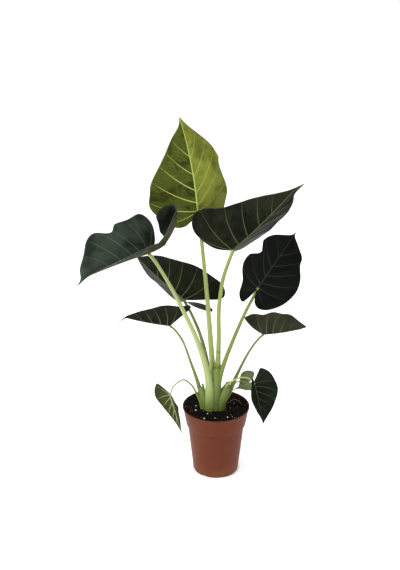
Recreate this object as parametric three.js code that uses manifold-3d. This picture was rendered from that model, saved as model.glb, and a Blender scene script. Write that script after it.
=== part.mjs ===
// A potted elephant-ear (alocasia): three shoots in a tapered nursery pot of potting mix.
// Millimetres, +Z up. The origin is the centre of the pot's flat underside, and -Y is the front.
// Every place on the plant is measured from the soil's surface, so the plant follows the pot.
import * as THREE from "three";
import { ParametricGeometry } from "three/addons/geometries/ParametricGeometry.js";
import { mergeVertices } from "three/addons/utils/BufferGeometryUtils.js";
import Module from "manifold-3d";

const wasm = await Module();
wasm.setup();

// ---- driving dimensions -------------------------------------------------------------------

const clearance = 0.3; // gap that neighbouring pieces keep

const pot = {
  rimRadius: 75,
  height: 158,
  baseRadius: 51.5,
  bandHeight: 44, // the flared band under the rim
  bandFlare: 8.5, // how much wider the band is at its top than at its foot
  bandStep: 3, // how far the band stands out from the body
  wall: 1.5,
  floor: 2,
  lipHeight: 3,
  lipWidth: 2.6,
  footRound: 3,
  sides: 40,
};

const drain = { count: 8, width: 16, height: 4, depth: 7, firstAngle: -76 };

const soil = { belowRim: 6, crown: 2 };

const plant = {
  scale: 1, // size of the shoots as a whole
  stoutness: 1, // thickness of the petioles
  rooted: 14, // how deep the petiole bases sit in the soil
  bladeThickness: 1,
  rings: 4, // steps from a blade's junction to its margin
  columns: 28, // steps round its margin
  petioleSides: 9,
  petioleSteps: 15,
};

const fibre = { radius: 0.8, sides: 6, steps: 10 };

// ---- colours ------------------------------------------------------------------------------

const terracotta = { color: 0x9b5a44, roughness: 0.45, metalness: 0 };
const pottingMix = { color: 0x1b120d, roughness: 0.95, metalness: 0 };
const perlite = { color: 0xd8d2c6, roughness: 0.9, metalness: 0 };
const darkLeaf = { color: 0x2c3a2d, roughness: 0.5, metalness: 0 };
const brightLeaf = { color: 0x8c963e, roughness: 0.5, metalness: 0 };
const youngLeaf = { color: 0x59703a, roughness: 0.5, metalness: 0 };
const paleStalk = { color: 0xa2b06a, roughness: 0.45, metalness: 0 };
const rootBrown = { color: 0x8a7355, roughness: 0.9, metalness: 0 };

// ---- solids -------------------------------------------------------------------------------

// A closed geometry as a manifold solid, with shared corners merged and slivers dropped.
function solidFrom(geometry) {
  const bare = geometry.clone();
  bare.deleteAttribute("normal");
  bare.deleteAttribute("uv");
  const merged = mergeVertices(bare, 1e-4);
  const corners = merged.index.array;
  const faces = [];
  for (let i = 0; i < corners.length; i += 3) {
    const [a, b, c] = corners.slice(i, i + 3);
    if (a !== b && b !== c && c !== a) faces.push(a, b, c);
  }
  const vertProperties = new Float32Array(merged.attributes.position.array);
  const build = (list) =>
    new wasm.Manifold(
      new wasm.Mesh({ numProp: 3, vertProperties, triVerts: new Uint32Array(list) }),
    );
  const made = build(faces);
  return made.volume() > 0 ? made : build(faces.reverse());
}

function geometryFrom(solid) {
  const { vertProperties, triVerts } = solid.getMesh();
  const geometry = new THREE.BufferGeometry();
  geometry.setAttribute("position", new THREE.BufferAttribute(vertProperties, 3));
  geometry.setIndex(new THREE.BufferAttribute(triVerts, 1));
  geometry.computeVertexNormals();
  return geometry;
}

// What is left of a solid after its neighbours are cut from it: the largest piece.
function cutBy(solid, neighbours) {
  let left = solid;
  for (const other of neighbours) left = left.subtract(other);
  const pieces = left.decompose();
  return pieces.reduce((best, piece) => (piece.volume() > best.volume() ? piece : best));
}

// A smooth line through a list of numbers, read at t from 0 to 1.
function along(values, t) {
  const curve = new THREE.SplineCurve(values.map((value, i) => new THREE.Vector2(i, value)));
  return curve.getPoint(t).y;
}

// ---- pot and soil -------------------------------------------------------------------------

const bandFoot = pot.height - pot.bandHeight;
const bandFootRadius = pot.rimRadius - pot.bandFlare;
const bodyTopRadius = bandFootRadius - pot.bandStep;

// Radius of the inside wall at a height.
function insideRadius(z) {
  if (z <= bandFoot) {
    const rise = (z - pot.floor) / (bandFoot - pot.floor);
    return THREE.MathUtils.lerp(pot.baseRadius, bodyTopRadius, rise) - pot.wall;
  }
  const shelf = Math.min((z - bandFoot) / pot.wall, 1);
  const foot = THREE.MathUtils.lerp(bodyTopRadius, bandFootRadius, shelf);
  const rise = Math.max(z - bandFoot - pot.wall, 0) / (pot.bandHeight - pot.wall);
  return THREE.MathUtils.lerp(foot, pot.rimRadius, rise) - pot.wall;
}

// A solid of revolution about Z from [radius, height] pairs that start and end on the axis.
function turned(profile) {
  const points = profile.map(([radius, height]) => new THREE.Vector2(radius, height));
  return solidFrom(new THREE.LatheGeometry(points, pot.sides).rotateX(Math.PI / 2));
}

function makePot() {
  const round = pot.footRound;
  const lipFoot = pot.height - pot.lipHeight;
  const shell = turned([
    [0, 0],
    [pot.baseRadius - round, 0],
    [pot.baseRadius - round * 0.3, round * 0.3],
    [pot.baseRadius, round],
    [bodyTopRadius, bandFoot],
    [bandFootRadius, bandFoot],
    [pot.rimRadius - 1, lipFoot],
    [pot.rimRadius, lipFoot],
    [pot.rimRadius, pot.height],
    [pot.rimRadius - pot.lipWidth, pot.height],
    [insideRadius(lipFoot), lipFoot],
    [insideRadius(bandFoot + pot.wall), bandFoot + pot.wall],
    [insideRadius(bandFoot), bandFoot],
    [insideRadius(pot.floor), pot.floor],
    [0, pot.floor],
  ]);
  const slots = [];
  for (let i = 0; i < drain.count; i += 1) {
    const angle = THREE.MathUtils.degToRad(drain.firstAngle + (360 / drain.count) * i);
    const slot = new THREE.BoxGeometry(2 * drain.depth, drain.width, 2 * drain.height);
    slot.translate(pot.baseRadius, 0, 0).rotateZ(angle);
    slots.push(solidFrom(slot));
  }
  return cutBy(shell, slots);
}

const soilEdge = pot.height - soil.belowRim;
const soilRadius = insideRadius(soilEdge) - clearance;

// Height of the soil's surface, a low mound, at a distance from the axis.
function soilHeight(distance) {
  return soilEdge + soil.crown * (1 - (distance / soilRadius) ** 2);
}

function makeSoil(pockets) {
  const bottom = pot.floor + clearance;
  const shelf = bandFoot + pot.wall;
  const wallGap = (z) => [insideRadius(z) - clearance, z];
  const ring = (share) => [soilRadius * share, soilHeight(soilRadius * share)];
  const fill = turned([
    [0, bottom],
    wallGap(bottom),
    wallGap(bandFoot),
    [insideRadius(shelf) - clearance, shelf + clearance],
    wallGap(soilEdge),
    ring(0.8),
    ring(0.45),
    [0, soilHeight(0)],
  ]);
  return cutBy(fill, pockets);
}

// ---- leaves -------------------------------------------------------------------------------

// Places are [x, y, height above the soil], and facing is the way a blade's upper side looks.
// Pairs hold the left side and then the right, seen from the junction with the upper side up.
// A margin's points are [along, across] from the sinus round the lobe to the tip. They are shares
// of the blade's length, as are bend (to the left), arch (upwards) and lobeCup (how far a lobe's
// inner edge curls forwards). Each half folds up by its fold, and its lobe by lobeFold more.
const leaves = {
  top: {
    junction: [-41, 25, 453],
    tip: [-78, 35, 649],
    facing: [-0.55, 1, 0],
    fold: [20, 20],
    bend: 0.03,
    margin: [
      [[-0.03, 0], [-0.15, 0.13], [-0.13, 0.34], [0, 0.47], [0.15, 0.47], [0.4, 0.4], [0.5, 0.42],
       [0.62, 0.34], [0.88, 0.09], [1, 0]],
      [[-0.03, 0], [-0.13, 0.15], [-0.1, 0.29], [0.1, 0.48], [0.28, 0.49], [0.43, 0.42], [0.73, 0.2],
       [0.9, 0.05], [1, 0]],
    ],
    look: brightLeaf,
    stalk: [[-10, 2], [-9, 4, 104], [-12, 8, 151], [-22, 18, 278], [-34, 23, 400]],
    radii: [7, 6.5, 5.5, 4.6, 4, 3.6],
  },
  upper_right: {
    junction: [33, 10, 372],
    tip: [168, 20, 511],
    facing: [-0.42, 0.8, 0.42],
    fold: [32, 32],
    bend: 0.03,
    twist: -30,
    margin: [
      [[-0.01, 0], [-0.05, 0.16], [-0.01, 0.36], [0.08, 0.46], [0.32, 0.38], [0.5, 0.315], [0.62, 0.31],
       [0.8, 0.175], [0.9, 0.06], [1, 0]],
      [[-0.01, 0], [-0.12, 0.18], [-0.13, 0.45], [-0.01, 0.61], [0.12, 0.56], [0.27, 0.43],
       [0.6, 0.235], [0.88, 0.05], [1, 0]],
    ],
    stalk: [[-4, 0], [3, -4, 96], [5, 4, 165], [5, 10, 234], [13, 14, 302], [27, 13, 350]],
    radii: [8, 7, 5.5, 4.8, 4.4, 4, 3.6],
  },
  middle: {
    junction: [-71, 40, 247],
    tip: [-173, 60, 338],
    facing: [0.42, 0.8, 0.42],
    fold: [38, 24],
    lobeFold: [0, 45],
    bend: -0.03,
    margin: [
      [[-0.02, 0], [-0.24, 0.21], [-0.43, 0.43], [-0.25, 0.59], [0.08, 0.58], [0.38, 0.49], [0.7, 0.32],
       [0.88, 0.16], [1, 0]],
      [[-0.02, 0], [-0.2, 0.08], [-0.38, 0.24], [-0.34, 0.4], [-0.12, 0.5], [0.1, 0.49], [0.45, 0.4],
       [0.65, 0.36], [0.85, 0.2], [1, 0]],
    ],
    stalk: [[-15, 8], [-15, 8, 48], [-22, 12, 118], [-37, 20, 175], [-54, 30, 214]],
    radii: [6.5, 6, 4.8, 4, 3.4, 3],
  },
  right: {
    junction: [87, -20, 298],
    tip: [164, -10, 418],
    facing: [0.25, -0.95, -0.05],
    fold: [8, 16],
    margin: [
      [[-0.03, 0], [-0.2, 0.04], [-0.3, 0.1], [-0.2, 0.22], [0, 0.31], [0.14, 0.41], [0.26, 0.48],
       [0.39, 0.45], [0.48, 0.34], [0.58, 0.31], [0.67, 0.4], [0.8, 0.31], [0.92, 0.06], [1, 0]],
      [[-0.03, 0], [-0.2, 0.07], [-0.27, 0.18], [-0.2, 0.35], [0, 0.47], [0.22, 0.53], [0.45, 0.45],
       [0.62, 0.34], [0.74, 0.28], [0.84, 0.15], [0.93, 0.03], [1, 0]],
    ],
    stalk: [[-6, -6], [-3, -9, 30], [12, -14, 101], [36, -16, 175], [62, -13, 240], [79, -12, 276]],
    radii: [9, 9, 5.6, 4.4, 3.8, 3.4, 3.2],
  },
  left: {
    junction: [-142, -30, 379],
    tip: [-273, -110, 352],
    facing: [0, -0.45, 0.9],
    fold: [59, 50],
    lobeCup: [0.2, 0],
    lobeFold: [38, 0],
    arch: 0.02,
    margin: [
      [[-0.05, 0], [-0.19, 0.09], [-0.4, 0.4], [-0.48, 0.62], [-0.42, 0.77], [-0.31, 0.81],
       [-0.08, 0.55], [0.04, 0.44], [0.4, 0.44], [0.78, 0.22], [1, 0]],
      [[-0.05, 0], [-0.15, 0.15], [-0.18, 0.38], [-0.06, 0.53], [0.12, 0.53], [0.33, 0.51],
       [0.42, 0.43], [0.62, 0.5], [0.77, 0.44], [0.86, 0.31], [0.94, 0.17], [0.96, 0.05], [1, 0]],
    ],
    stalk: [
      [-18, -8],
      [-20, -13, 2],
      [-23, -18, 84],
      [-42, -28, 178],
      [-66, -33, 238],
      [-99, -33, 308],
      [-130, -31, 362],
    ],
    radii: [10, 10, 8.5, 6, 4.8, 4.2, 3.6, 2.7],
  },
  lower_right: {
    junction: [102, 0, 181],
    tip: [194, -20, 207],
    facing: [0, 0.75, 0.7],
    fold: [26, 32],
    arch: -0.03,
    margin: [
      [[-0.02, 0], [-0.08, 0.2], [0, 0.42], [0.2, 0.51], [0.48, 0.46], [0.7, 0.33], [0.88, 0.12],
       [1, 0]],
      [[-0.02, 0], [-0.2, 0.22], [-0.3, 0.47], [-0.16, 0.56], [0.08, 0.555], [0.3, 0.565], [0.55, 0.52],
       [0.73, 0.42], [0.9, 0.18], [1, 0]],
    ],
    stalk: [[12, 0], [16, 0, 10], [27, 0, 32], [46, 2, 81], [74, 0, 143], [93, 0, 171]],
    radii: [6, 6, 5, 3.4, 2.8, 2.4, 2.3],
  },
  small_right: {
    junction: [84, -30, 75],
    tip: [105, -40, -19],
    facing: [0.7, -1, 0.2],
    fold: [35, 37],
    lobeFold: [0, 15],
    margin: [
      [[-0.06, 0], [-0.25, 0.13], [-0.34, 0.22], [-0.22, 0.38], [0.02, 0.48], [0.28, 0.48], [0.6, 0.33],
       [0.86, 0.11], [1, 0]],
      [[-0.06, 0], [-0.22, 0.06], [-0.3, 0.14], [-0.14, 0.22], [0.05, 0.35], [0.25, 0.4], [0.5, 0.29],
       [0.78, 0.1], [1, 0]],
    ],
    look: darkLeaf,
    stalk: [[8, -6], [8, -6, 20], [12, -8, 44], [26, -14, 66], [52, -24, 87], [73, -27, 86]],
    radii: [4, 4, 3, 2.2, 1.8, 1.6, 1.5],
  },
  young_right: {
    junction: [72, 15, 54],
    tip: [36, 25, 30],
    facing: [0, 1, 0.2],
    fold: [15, 15],
    margin: [
      [[-0.05, 0], [-0.4, 0.15], [-0.6, 0.38], [-0.4, 0.62], [-0.07, 0.65], [0.15, 0.52], [0.5, 0.1],
       [0.7, 0.03], [1, 0]],
      [[-0.05, 0], [-0.4, 0.15], [-0.6, 0.4], [-0.45, 0.66], [-0.1, 0.76], [0.2, 0.66], [0.45, 0.4],
       [0.65, 0.1], [1, 0]],
    ],
    look: youngLeaf,
    stalk: [[18, 5], [20, 6, 15], [31, 9, 43], [50, 11, 60], [66, 11, 59]],
    radii: [2.6, 2.6, 2, 1.5, 1.3, 1.2],
  },
  lower_left: {
    junction: [-101, -10, 206],
    tip: [-204, -30, 236],
    facing: [0, 0.6, 0.8],
    fold: [36, 32],
    arch: -0.02,
    margin: [
      [[-0.01, 0], [-0.12, 0.23], [-0.26, 0.5], [-0.2, 0.57], [0, 0.53], [0.32, 0.47], [0.6, 0.31],
       [0.87, 0.09], [1, 0]],
      [[-0.01, 0], [-0.05, 0.22], [0.04, 0.42], [0.2, 0.48], [0.42, 0.43], [0.66, 0.29], [0.88, 0.08],
       [1, 0]],
    ],
    stalk: [[-28, -2], [-33, -5, 25], [-40, -10, 65], [-56, -12, 118], [-75, -14, 174], [-92, -12, 198]],
    radii: [6, 5.5, 4.5, 3.2, 2.6, 2.4, 2.2],
  },
  small_left: {
    junction: [-102, -45, 56],
    tip: [-76, -50, -39],
    facing: [-0.7, 1, 0.1],
    fold: [35, 50],
    lobeFold: [0, 35],
    margin: [
      [[-0.05, 0], [-0.25, 0.12], [-0.34, 0.21], [-0.2, 0.3], [0, 0.32], [0.2, 0.25], [0.6, 0.1],
       [0.85, 0.03], [1, 0]],
      [[-0.05, 0], [0.1, 0.13], [0.35, 0.23], [0.48, 0.33], [0.6, 0.24], [0.78, 0.14], [0.92, 0.03],
       [1, 0]],
    ],
    look: youngLeaf,
    stalk: [
      [-34, -6],
      [-38, -9, 18],
      [-45, -14, 46],
      [-55, -22, 68],
      [-73, -34, 87],
      [-93, -44, 77],
    ],
    radii: [3.5, 3, 2.4, 2, 1.7, 1.5, 1.4],
  },
};

function plantPoint([x, y, height = -plant.rooted / plant.scale]) {
  return new THREE.Vector3(x, y, height).multiplyScalar(plant.scale).setZ(
    soilEdge + height * plant.scale,
  );
}

const cupEnd = 0.35; // how far round a half's margin its lobe's curled inner edge runs

function facingOf(leaf) {
  const forward = plantPoint(leaf.tip).sub(plantPoint(leaf.junction)).normalize();
  const facing = new THREE.Vector3(...leaf.facing);
  return facing.addScaledVector(forward, -facing.dot(forward)).normalize();
}

// The blade's mid surface. Share runs from 0 at the junction to 1 at the margin, and turn runs
// round the margin from the sinus along the left side to the tip and back along the right side.
// Each half folds up from the midrib, and its lobe by more; the midrib bends, arches and twists.
function bladeSurface(leaf) {
  const { bend = 0, arch = 0, twist = 0, lobeFold = [0, 0], lobeCup = [0, 0] } = leaf;
  const junction = plantPoint(leaf.junction);
  const chord = plantPoint(leaf.tip).sub(junction);
  const length = chord.length();
  const forward = chord.normalize();
  const facing = facingOf(leaf);
  const leftward = new THREE.Vector3().crossVectors(facing, forward);
  const outlines = leaf.margin.map(
    (points) => new THREE.SplineCurve(points.map(([x, y]) => new THREE.Vector2(x, y))),
  );
  const reach = leaf.margin.map((points) => Math.max(0.05, ...points.map(([x]) => -x)));

  return (share, turn) => {
    const wrapped = turn - Math.floor(turn);
    const side = wrapped <= 0.5 ? 0 : 1;
    const round = side === 0 ? wrapped * 2 : 2 - wrapped * 2;
    const flat = outlines[side].getPoint(round);
    const across = flat.y * share * length;
    const intoLobe = THREE.MathUtils.clamp((-flat.x * share) / reach[side], 0, 1);
    const cup = lobeCup[side] * share * Math.sin(Math.PI * Math.min(round / cupEnd, 1)) ** 2;
    const s = flat.x * share + cup;
    const fold = THREE.MathUtils.degToRad(leaf.fold[side] + lobeFold[side] * intoLobe);
    const lateral = (side === 0 ? 1 : -1) * across * Math.cos(fold);
    const lift = across * Math.sin(fold);
    const turned = THREE.MathUtils.degToRad(twist) * s;
    const bow = (s > 0 ? 4 * s * (1 - s) : 4 * s) * length;
    const sideways = lateral * Math.cos(turned) - lift * Math.sin(turned) + bend * bow;
    const upward = lateral * Math.sin(turned) + lift * Math.cos(turned) + arch * bow;
    return junction
      .clone()
      .addScaledVector(forward, s * length)
      .addScaledVector(leftward, sideways)
      .addScaledVector(facing, upward);
  };
}

// A thin shell on both sides of the mid surface, closed round its margin. Spread is how far past
// the margin it runs, as a share, so that a thicker and wider shell can cut a neighbour clear.
function bladeSolid(leaf, thickness, spread = 0) {
  const surface = bladeSurface(leaf);
  const facing = facingOf(leaf);
  const { rings, columns } = plant;
  const stacks = 2 * rings + 1;
  const probe = 0.05;
  const nudge = 0.4 / columns;
  const shell = (turn, v, target) => {
    const step = Math.round(v * stacks);
    const upper = step <= rings;
    const ring = upper ? step : stacks - step;
    const share = (ring / rings) * (ring === rings ? 1 + spread : 1);
    const normal = facing.clone();
    if (ring > 0) {
      const outward = surface(share, turn).sub(surface(share - probe, turn));
      const onward = surface(share, turn + nudge).sub(surface(share, turn - nudge));
      normal.crossVectors(onward, outward).normalize();
    }
    target.copy(surface(share, turn)).addScaledVector(normal, (upper ? 0.5 : -0.5) * thickness);
  };
  return solidFrom(new ParametricGeometry(shell, columns, stacks));
}

// A tapered tube through a stalk's places, from its root to the underside of its blade.
// Grow makes it wider and longer all round.
function stalkSolid(leaf, grow = 0) {
  const places = leaf.stalk.map(plantPoint);
  const radii = leaf.radii.map((radius) => radius * plant.stoutness * plant.scale);
  const neck = 0.8 * radii[radii.length - 1]; // how far under the blade the stalk ends
  places.push(plantPoint(leaf.junction).addScaledVector(facingOf(leaf), -neck));
  const path = new THREE.CatmullRomCurve3(places, false, "centripetal");
  const steps = plant.petioleSteps;
  const frames = path.computeFrenetFrames(steps, false);
  const tube = (turn, v, target) => {
    const step = Math.round(v * (steps + 2));
    const ring = Math.min(Math.max(step - 1, 0), steps);
    const t = ring / steps;
    const radius = step === ring + 1 ? along(radii, t) + grow : 0;
    const angle = turn * 2 * Math.PI;
    path.getPointAt(t, target);
    const end = (ring === steps ? 1 : 0) - (ring === 0 ? 1 : 0);
    target.addScaledVector(frames.tangents[ring], end * grow);
    target.addScaledVector(frames.normals[ring], radius * Math.cos(angle));
    target.addScaledVector(frames.binormals[ring], radius * Math.sin(angle));
  };
  return solidFrom(new ParametricGeometry(tube, plant.petioleSides, steps + 2));
}

// ---- what lies on the soil ----------------------------------------------------------------

// Grains as [share of the soil's radius, angle, size].
const grains = [
  [0.82, -117, 2.4],
  [0.73, -93, 2.1],
  [0.6, 16, 2.6],
  [0.62, 175, 2.2],
  [0.67, -160, 2.5],
  [0.52, -121, 2],
  [0.46, -14, 2.3],
  [0.74, -62, 2],
];

function grainSolid([share, angle, size], grow = 0) {
  const grain = new THREE.IcosahedronGeometry(size + grow, 0);
  const distance = share * soilRadius;
  grain.rotateX(angle).scale(1, 0.85, 0.8);
  grain.translate(distance, 0, soilHeight(distance) + size * 0.3);
  return solidFrom(grain.rotateZ(THREE.MathUtils.degToRad(angle)));
}

// A stray root fibre that arches out of the soil behind the right-hand shoot. Its places are
// [share of the soil's radius to the right, share to the back, height above the soil].
function fibreSolid(grow = 0) {
  const buried = -6 - grow;
  const places = [
    [0.25, 0.2, buried],
    [0.43, 0.2, 6],
    [0.61, 0.21, 13],
    [0.735, 0.22, 8],
    [0.83, 0.235, buried],
  ].map(([x, y, z]) => new THREE.Vector3(x * soilRadius, y * soilRadius, soilEdge + z));
  const section = new THREE.Shape().absarc(0, 0, fibre.radius + grow, 0, 2 * Math.PI);
  const thread = new THREE.ExtrudeGeometry(section, {
    steps: fibre.steps,
    curveSegments: fibre.sides,
    extrudePath: new THREE.CatmullRomCurve3(places),
  });
  return solidFrom(thread);
}

// ---- the plant ----------------------------------------------------------------------------

const group = new THREE.Group();

function addPiece(name, solid, finish) {
  const mesh = new THREE.Mesh(geometryFrom(solid), new THREE.MeshStandardMaterial(finish));
  mesh.name = name;
  group.add(mesh);
}

addPiece("pot", makePot(), terracotta);

// Leaves stand in the order they grew from the inside out, so each stalk is cut by those before it.
const stalkRooms = [];
for (const [name, leaf] of Object.entries(leaves)) {
  const bladeRoom = bladeSolid(leaf, plant.bladeThickness + 2 * clearance, 0.1);
  const stalk = cutBy(stalkSolid(leaf), [...stalkRooms, bladeRoom]);
  stalkRooms.push(stalkSolid(leaf, clearance));
  addPiece(`leaf_${name}`, bladeSolid(leaf, plant.bladeThickness), leaf.look ?? darkLeaf);
  addPiece(`petiole_${name}`, stalk, paleStalk);
}

const grainRooms = grains.map((grain) => grainSolid(grain, clearance));
grains.forEach((grain, i) => {
  addPiece(`perlite_${i + 1}`, cutBy(grainSolid(grain), stalkRooms), perlite);
});

addPiece("root_fibre", fibreSolid(), rootBrown);
addPiece("soil", makeSoil([...stalkRooms, ...grainRooms, fibreSolid(clearance)]), pottingMix);

export default group;
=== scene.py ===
# A potted elephant-ear (alocasia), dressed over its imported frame. Metres, +Z up, -Y is the front.
# Every piece but the loose crumbs and specks is a surface of two parameters worked out with numpy:
# rings of points, closed at both ends.
import math

import bpy
import numpy as np
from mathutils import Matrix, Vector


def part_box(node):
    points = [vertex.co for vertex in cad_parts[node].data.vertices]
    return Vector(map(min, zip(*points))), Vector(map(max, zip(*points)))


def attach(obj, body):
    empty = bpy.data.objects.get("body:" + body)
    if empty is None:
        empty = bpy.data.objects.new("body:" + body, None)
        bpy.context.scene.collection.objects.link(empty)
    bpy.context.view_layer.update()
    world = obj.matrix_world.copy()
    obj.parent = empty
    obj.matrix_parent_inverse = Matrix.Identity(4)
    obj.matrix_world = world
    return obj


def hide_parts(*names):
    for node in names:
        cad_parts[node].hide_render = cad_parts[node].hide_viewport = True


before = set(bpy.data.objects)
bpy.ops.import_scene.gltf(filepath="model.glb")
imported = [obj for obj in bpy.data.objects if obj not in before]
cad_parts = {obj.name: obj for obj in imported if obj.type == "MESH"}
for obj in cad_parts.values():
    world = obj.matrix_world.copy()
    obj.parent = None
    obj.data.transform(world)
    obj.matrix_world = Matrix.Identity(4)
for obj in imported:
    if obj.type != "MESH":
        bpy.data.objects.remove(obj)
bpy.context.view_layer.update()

mm = 0.001
potLow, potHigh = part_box("pot")
print("frame loaded:", len(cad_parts), "nodes")


# Points on a smooth line (uniform Catmull-Rom) through the given ones, for t from 0 to 1.
def smoothLine(points, t):
    points = np.asarray(points, float)
    last = len(points) - 1
    place = np.clip(t, 0, 1) * last
    i = np.minimum(place.astype(int), last - 1)
    w = place - i
    if points.ndim == 2:
        w = w[..., None]
    a, b, c, d = (points[np.clip(i + step, 0, last)] for step in (-1, 0, 1, 2))
    return b + 0.5 * w * (c - a + w * (2 * a - 5 * b + 4 * c - d + w * (3 * b - a - 3 * c + d)))


# The distance run at each point of a line, from its start.
def runAlong(line):
    return np.concatenate([[0], np.cumsum(np.linalg.norm(np.diff(line, axis=0), axis=1))])


# Points at even distances on a smooth line (centripetal Catmull-Rom) through the given ones.
def evenLine(points, t):
    points = np.asarray(points, float)
    first, last = 2 * points[0] - points[1], 2 * points[-1] - points[-2]
    padded = np.vstack([first, points, last])
    spans = len(points) - 1
    fine = np.linspace(0, spans, 60 * spans + 1)
    i = np.minimum(fine.astype(int), spans - 1)
    w = (fine - i)[:, None]
    a, b, c, d = (padded[i + step] for step in range(4))
    ab, bc, cd = (np.sqrt(np.linalg.norm(q - p, axis=1))[:, None] for p, q in ((a, b), (b, c), (c, d)))
    leave = ((b - a) / ab - (c - a) / (ab + bc) + (c - b) / bc) * bc
    arrive = ((c - b) / bc - (d - b) / (bc + cd) + (d - c) / cd) * bc
    line = b + w * (leave + w * (3 * (c - b) - 2 * leave - arrive + w * (2 * (b - c) + leave + arrive)))
    run = runAlong(line)
    return np.stack([np.interp(t * run[-1], run, line[:, k]) for k in range(3)], axis=-1)


# Smooth random heights from -1 to 1: values on a square lattice with unit cells, eased between.
def lumps(x, y, seed, cells=64):
    table = np.random.default_rng(seed).uniform(-1, 1, (cells, cells))
    i, j = np.floor(x).astype(int), np.floor(y).astype(int)
    u, v = x - i, y - j
    u, v = u * u * (3 - 2 * u), v * v * (3 - 2 * v)
    i0, i1, j0, j1 = i % cells, (i + 1) % cells, j % cells, (j + 1) % cells
    low = table[i0, j0] * (1 - u) + table[i1, j0] * u
    high = table[i0, j1] * (1 - u) + table[i1, j1] * u
    return low * (1 - v) + high * v


# Each vector at length 1.
def unit(vectors):
    return vectors / np.maximum(np.linalg.norm(vectors, axis=-1, keepdims=True), 1e-12)


# From 0 to 1 as x does, level at both ends.
def ease(x):
    x = np.clip(x, 0, 1)
    return x * x * (3 - 2 * x)


# The faces between rings of points that close on themselves.
def ringQuads(rows, columns):
    row, column = np.meshgrid(np.arange(rows - 1), np.arange(columns), indexing="ij")
    here, onward = row * columns + column, row * columns + (column + 1) % columns
    return np.stack([here, onward, onward + columns, here + columns], axis=-1).reshape(-1, 4)


# The mesh of rings of points closed by a point at each end. Rings is rows x columns x 3.
def closedRings(rings, start, end):
    rows, columns = rings.shape[:2]
    places = np.vstack([rings.reshape(-1, 3), start, end])
    ring = np.arange(columns)
    after = (ring + 1) % columns
    startPole, endPole = rows * columns, rows * columns + 1
    last = (rows - 1) * columns
    caps = [np.stack([after, ring, np.full(columns, startPole)], axis=-1)]
    caps.append(np.stack([last + ring, last + after, np.full(columns, endPole)], axis=-1))
    return places, ringQuads(rows, columns), np.vstack(caps)


# The mesh of a thin strip: each ring runs along its outer side and back along its inner one.
def closedStrip(rings):
    rows, columns = rings.shape[:2]
    outer = np.arange(columns // 2 - 1)
    inner = columns - 1 - outer
    cap = np.stack([outer + 1, outer, inner, inner - 1], axis=-1)
    quads = np.vstack([ringQuads(rows, columns), cap, cap[:, ::-1] + (rows - 1) * columns])
    return rings.reshape(-1, 3), quads, np.zeros((0, 3), int)


# Several meshes as one.
def joined(parts):
    shift = np.cumsum([0] + [len(part[0]) for part in parts[:-1]])
    places = np.vstack([part[0] for part in parts])
    quads = np.vstack([part[1] + s for part, s in zip(parts, shift)])
    corners = np.vstack([part[2] + s for part, s in zip(parts, shift)])
    return places, quads, corners


# Six times the volume that the faces enclose; it is negative if they point inwards.
def signedVolume(places, quads, triangles):
    halves = np.vstack([quads[:, [0, 1, 2]], quads[:, [0, 2, 3]], triangles])
    a, b, c = places[halves[:, 0]], places[halves[:, 1]], places[halves[:, 2]]
    return np.einsum("ij,ij->", a, np.cross(b, c))


# The shape with its faces turned outwards.
def outwards(shape):
    places, quads, triangles = shape
    if signedVolume(places - places.mean(0), quads, triangles) > 0:
        return shape
    return places, quads[:, ::-1], triangles[:, ::-1]


# Makes a piece of the plant: its mesh, its finishes, the node it stands for and the slot it takes.
def addPiece(name, shape, finishes, node=None, fields=None, second=None):
    places, quads, triangles = shape
    mesh = bpy.data.meshes.new(name)
    mesh.vertices.add(len(places))
    mesh.vertices.foreach_set("co", places.astype(np.float32).ravel())
    mesh.loops.add(quads.size + triangles.size)
    corners = np.concatenate([quads.ravel(), triangles.ravel()])
    mesh.loops.foreach_set("vertex_index", corners.astype(np.int32))
    starts = np.concatenate([np.arange(len(quads)) * 4, quads.size + np.arange(len(triangles)) * 3])
    mesh.polygons.add(len(starts))
    mesh.polygons.foreach_set("loop_start", starts.astype(np.int32))
    for finish in finishes:
        mesh.materials.append(finish)
    if second is not None:
        mesh.polygons.foreach_set("material_index", second.astype(np.int32))
    for field, values in (fields or {}).items():
        vector = values.ndim == 2
        made = mesh.attributes.new(field, "FLOAT_VECTOR" if vector else "FLOAT", "POINT")
        made.data.foreach_set("vector" if vector else "value", values.astype(np.float32).ravel())
    mesh.update(calc_edges=True)
    mesh.polygons.foreach_set("use_smooth", np.ones(len(mesh.polygons), bool))
    piece = bpy.data.objects.new(name, mesh)
    bpy.context.scene.collection.objects.link(piece)
    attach(piece, "root")
    if node:
        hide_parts(node)
    return piece


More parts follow.
